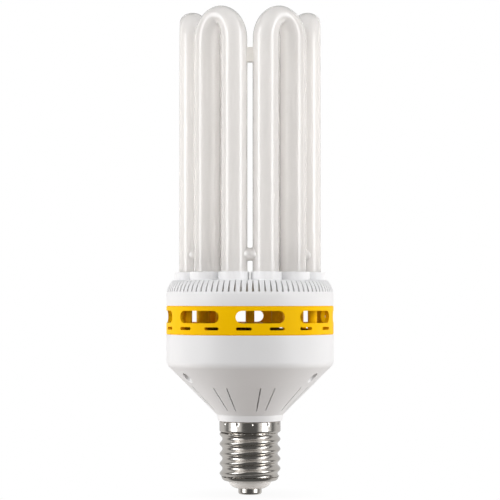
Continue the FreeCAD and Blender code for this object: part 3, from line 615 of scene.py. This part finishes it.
# %% [markdown]
# ## Bent glass tubes
# Each tube is a straight glass pipe that was heated in the middle and bent round a former. The
# bend flattens the pipe, so the crown is thinner than the legs. A curve with a round bevel can't
# do that. So we work as the glass bender does: draw a circle out into a leg, carry it round the
# arch in small steps, and draw it out again. At each step the open ring is laid flat, thinned,
# tipped to its new lean and moved on.

# %% Measure the arch
LEG_CIRCLE = 38.7 * MM
LEG_ANGLE = math.radians(15)
TUBE_RADIUS = 8.3 * MM
ARCH_BASE = 290.8 * MM
ARCH_RISE = 15.7 * MM
CROWN_THINNING = 2.0 * MM
half_span = LEG_CIRCLE * math.sin(LEG_ANGLE)
tube_plane = -LEG_CIRCLE * math.cos(LEG_ANGLE)


def arch(turn):
    """Middle, lean and half thickness of the pipe at a turn round the arch."""
    rise = ARCH_BASE + ARCH_RISE * math.sin(turn)
    middle = Vector((half_span * math.cos(turn), tube_plane, rise))
    lean = math.atan2(half_span * math.sin(turn), ARCH_RISE * math.cos(turn))
    return middle, lean, TUBE_RADIUS - CROWN_THINNING * math.sin(turn) ** 2


print("span of the arch in mm:", round(2 * half_span / MM, 1))

# %% Bend one tube and copy it
TUBE_FOOT = 129.6 * MM
FOOT_EDGE = 3.0 * MM
FOOT_SEGMENTS = 3
ARCH_STEPS = 28
TUBE_SIDES = 64
TUBE_ANGLES = [30, 90, 150, 210, 270, 330]
NEAR = 0.01 * MM
leg_length = ARCH_BASE - TUBE_FOOT

tube = begin(
    bpy.ops.mesh.primitive_circle_add,
    vertices=TUBE_SIDES,
    radius=TUBE_RADIUS,
    location=(half_span, tube_plane, TUBE_FOOT),
)
bpy.ops.mesh.extrude_region_move(TRANSFORM_OT_translate={"value": (0, 0, leg_length)})
middle, lean, thickness = arch(0)
for step in range(1, ARCH_STEPS + 1):
    next_middle, next_lean, next_thickness = arch(math.pi * step / ARCH_STEPS)
    bpy.ops.mesh.extrude_region_move()
    bpy.ops.transform.rotate(value=-lean, orient_axis="Y", center_override=middle)
    bpy.ops.transform.resize(value=(next_thickness / thickness, 1, 1), center_override=middle)
    bpy.ops.transform.rotate(value=next_lean, orient_axis="Y", center_override=middle)
    bpy.ops.transform.translate(value=next_middle - middle)
    middle, lean, thickness = next_middle, next_lean, next_thickness
bpy.ops.mesh.extrude_region_move(TRANSFORM_OT_translate={"value": (0, 0, -leg_length)})
bpy.ops.mesh.select_all(action="SELECT")
bpy.ops.mesh.fill_holes(sides=0)
pick("edges", lambda place: abs(place.z) < NEAR)
bpy.ops.mesh.bevel(offset=FOOT_EDGE, segments=FOOT_SEGMENTS)
settle()
turned_copies(tube, "glass_tube", "u_tube", TUBE_ANGLES)

# %% [markdown]
# ## Glass bridges
# Near their feet the tubes are joined by short necks, where the glass was heated, blown through
# and pushed together. So a neck is slim in the middle and flares where it melts into a tube. It is
# a circle on its side, drawn across the gap in steps and widened towards both ends, which stay
# hidden inside the tubes. One gap stays open, because the lamp's current runs from end to end.

# %% Draw one bridge and copy it
BRIDGE_HEIGHT = 154.6 * MM
BRIDGE_WAIST = 4.05 * MM
BRIDGE_FLARE = 6.05 * MM
FLARE_POWER = 1.7
BRIDGE_HALF_LENGTH = 4.6 * MM
BRIDGE_STEPS = 20
BRIDGE_SIDES = 40
JOINED_GAPS = [0, 60, 120, 240, 300]


def bridge_radius(share):
    """Radius of the neck, from -1 at one end over 0 in the middle to 1 at the other end."""
    return BRIDGE_WAIST + (BRIDGE_FLARE - BRIDGE_WAIST) * abs(share) ** FLARE_POWER


bridge = begin(
    bpy.ops.mesh.primitive_circle_add,
    vertices=BRIDGE_SIDES,
    radius=BRIDGE_FLARE,
    location=(-BRIDGE_HALF_LENGTH, tube_plane, BRIDGE_HEIGHT),
    rotation=(0, math.pi / 2, 0),
)
bridge_middle = (0, tube_plane, BRIDGE_HEIGHT)
forward = (2 * BRIDGE_HALF_LENGTH / BRIDGE_STEPS, 0, 0)
radius = BRIDGE_FLARE
for step in range(1, BRIDGE_STEPS + 1):
    share = 2 * step / BRIDGE_STEPS - 1
    bpy.ops.mesh.extrude_region_move(TRANSFORM_OT_translate={"value": forward})
    growth = bridge_radius(share) / radius
    bpy.ops.transform.resize(value=(1, growth, growth), center_override=bridge_middle)
    radius = bridge_radius(share)
bpy.ops.mesh.select_all(action="SELECT")
bpy.ops.mesh.fill_holes(sides=0)
settle()
turned_copies(bridge, "glass_bridge", "tube_bridge", JOINED_GAPS)

# %% [markdown]
# ## Silicone pads
# Higher up, dabs of silicone keep the tubes from knocking together. Wet silicone clings to the
# glass and shrinks in the middle, so every free side of a pad is hollow. A cube is cut into a
# grid, and each slice across the gap is shrunk a little: most in the middle, not at all at the
# glass.

# %% Squeeze one pad and copy it
PAD_HEIGHT = 280.9 * MM
PAD_SIZE = Vector((5.4, 6.0, 10.4)) * MM
PAD_CUTS = 11
PAD_WAIST = 0.80
SLICE_SLACK = 0.01
pad_middle = Vector((0, tube_plane, PAD_HEIGHT))

pad = begin(bpy.ops.mesh.primitive_cube_add, size=1, location=pad_middle, scale=PAD_SIZE)
bpy.ops.mesh.subdivide(number_cuts=PAD_CUTS)
for slice_number in range(1, PAD_CUTS + 1):
    share = 2 * slice_number / (PAD_CUTS + 1) - 1
    shrink = PAD_WAIST + (1 - PAD_WAIST) * share**2
    pick("verts", lambda place: abs(place.x - share / 2) < SLICE_SLACK)
    bpy.ops.transform.resize(value=(1, shrink, (1 + shrink) / 2), center_override=pad_middle)
settle()
smoothing = pad.modifiers.new("smoothing", "SUBSURF")
smoothing.levels = smoothing.render_levels = 1
bpy.ops.object.modifier_apply(modifier=smoothing.name)
turned_copies(pad, "silicone_pad", "tube_spacer", JOINED_GAPS)

# %% [markdown]
# ## Screw shell
# The shell is drawn from thin brass sheet, and the round thread is rolled into it, with narrow
# crests and wide soft valleys. A Screw modifier turns one wave of that outline round the axis and
# lifts it by one pitch each turn. The thread must then run out into a plain skirt above and into a
# rolled toe below. So both ends are cut level, and a plain circle is bridged to each cut and drawn
# on, ring by ring.

# %% Roll the thread
THREAD_PITCH = 6.35 * MM
CREST_RADIUS = 19.75 * MM
THREAD_DEPTH = 1.8 * MM
CREST_POWER = 2.4
FIRST_VALLEY = 0.775 * MM
THREAD_TURNS = 8
WAVE_STEPS = 20
SHELL_SIDES = 240


def wave(share):
    """Point of the thread's outline, from one valley over a narrow crest to the next valley."""
    radius = CREST_RADIUS - THREAD_DEPTH * (1 - math.sin(math.pi * share) ** CREST_POWER)
    return Vector((radius, 0, FIRST_VALLEY + THREAD_PITCH * share))


shell = begin(bpy.ops.mesh.primitive_plane_add, size=MM, location=wave(0))
bpy.ops.mesh.merge(type="CENTER")
for step in range(WAVE_STEPS):
    move = wave((step + 1) / WAVE_STEPS) - wave(step / WAVE_STEPS)
    bpy.ops.mesh.extrude_vertices_move(TRANSFORM_OT_translate={"value": move})
bpy.ops.object.mode_set(mode="OBJECT")
bpy.ops.object.transform_apply(location=True, rotation=True, scale=True)
turns = shell.modifiers.new("turns", "SCREW")
turns.axis = "Z"
turns.screw_offset = THREAD_PITCH
turns.iterations = THREAD_TURNS
turns.steps = turns.render_steps = SHELL_SIDES
bpy.ops.object.modifier_apply(modifier=turns.name)
print("thread faces:", len(shell.data.polygons))

# %% Outlines of the skirt and the toe
# Radii and heights in mm, from the circle next to the thread to the free edge
SKIRT_RADIUS = 19.85
SKIRT_FOOT = 41.2
SKIRT_ROW = 0.4
SKIRT_ROWS = 14
SKIRT = [(18.6, 39.9), (19.2, 40.3), (19.65, 40.7), (SKIRT_RADIUS, SKIRT_FOOT)]
SKIRT += [(SKIRT_RADIUS, SKIRT_FOOT + SKIRT_ROW * row) for row in range(1, SKIRT_ROWS + 1)]
SKIRT += [(19.75, 47.1), (19.5, 47.4), (19.1, 47.6), (17.6, 47.6)]
TOE = [(18.5, 11.3), (18.3, 10.7), (18.1, 10.1), (17.7, 9.5)]
TOE += [(17.0, 9.0), (16.0, 8.75), (14.7, 8.7), (14.5, 8.9)]
print("rings of the skirt:", len(SKIRT), "rings of the toe:", len(TOE))

# %% Run the thread out into a skirt and a toe
THREAD_TOP = 39.6 * MM
THREAD_FOOT = 11.7 * MM
LEVEL_SLACK = 0.02 * MM
UPWARDS = (0, 0, 1)


def level_with(heights):
    """Test for edges that lie level with one of some heights."""
    return lambda place: any(abs(place.z - height) < LEVEL_SLACK for height in heights)


def draw_on(cut, outline):
    """Bridge a level cut to a plain circle, and draw the circle on along an outline."""
    (radius, height), *rings = [(ring_radius * MM, level * MM) for ring_radius, level in outline]
    bpy.ops.mesh.primitive_circle_add(vertices=SHELL_SIDES, radius=radius, location=(0, 0, height))
    pick("edges", level_with([cut, height]))
    bpy.ops.mesh.bridge_edge_loops()
    pick("edges", level_with([height]))
    for next_radius, next_height in rings:
        rise = (0, 0, next_height - height)
        bpy.ops.mesh.extrude_region_move(TRANSFORM_OT_translate={"value": rise})
        growth = next_radius / radius
        centre = (0, 0, next_height)
        bpy.ops.transform.resize(value=(growth, growth, 1), center_override=centre)
        radius, height = next_radius, next_height


bpy.ops.object.mode_set(mode="EDIT")
bpy.ops.mesh.select_all(action="SELECT")
bpy.ops.mesh.remove_doubles(threshold=NEAR)
bpy.ops.mesh.bisect(plane_co=(0, 0, THREAD_TOP), plane_no=UPWARDS, clear_outer=True)
bpy.ops.mesh.select_all(action="SELECT")
bpy.ops.mesh.bisect(plane_co=(0, 0, THREAD_FOOT), plane_no=UPWARDS, clear_inner=True)
draw_on(THREAD_TOP, SKIRT)
draw_on(THREAD_FOOT, TOE)
bpy.ops.mesh.select_all(action="SELECT")
bpy.ops.mesh.normals_make_consistent(inside=False)
print("shell corners:", len(bmesh.from_edit_mesh(shell.data).verts))

# %% [markdown]
# ## Staking marks
# The shell is fixed to the plastic neck by a ring of punch marks below its rim. A punch presses a
# small V into the sheet, so each mark is three soft pushes: wide and deep at the top, slight at
# the point. Proportional editing carries the metal around the pushed corner along with it.

# %% Punch the marks and give the sheet its thickness
SHELL_SHEET = 0.5 * MM
MARK_COUNT = 12
FIRST_MARK = 5.6
# Height, spread and depth of each push in mm
MARK_PUSHES = [(46.4, 1.1, 0.38), (45.8, 0.85, 0.27), (45.2, 0.65, 0.15)]

for number in range(MARK_COUNT):
    turn = math.radians(FIRST_MARK + 360 / MARK_COUNT * number)
    outward = Vector((math.sin(turn), -math.cos(turn), 0))
    for height, spread, push in MARK_PUSHES:
        target = outward * (SKIRT_RADIUS * MM) + Vector((0, 0, height * MM))
        corners = bmesh.from_edit_mesh(shell.data).verts
        nearest = min((corner.co - target).length for corner in corners)
        pick("verts", lambda place: (place - target).length <= nearest)
        bpy.ops.transform.translate(
            value=-outward * push * MM,
            use_proportional_edit=True,
            proportional_edit_falloff="SMOOTH",
            proportional_size=spread * MM,
        )
settle()
sheet = shell.modifiers.new("sheet", "SOLIDIFY")
sheet.thickness = SHELL_SHEET
sheet.offset = -1
bpy.ops.object.modifier_apply(modifier=sheet.name)
stand_for(shell, "rolled_shell", "screw_shell")
print("shell faces:", len(shell.data.polygons))
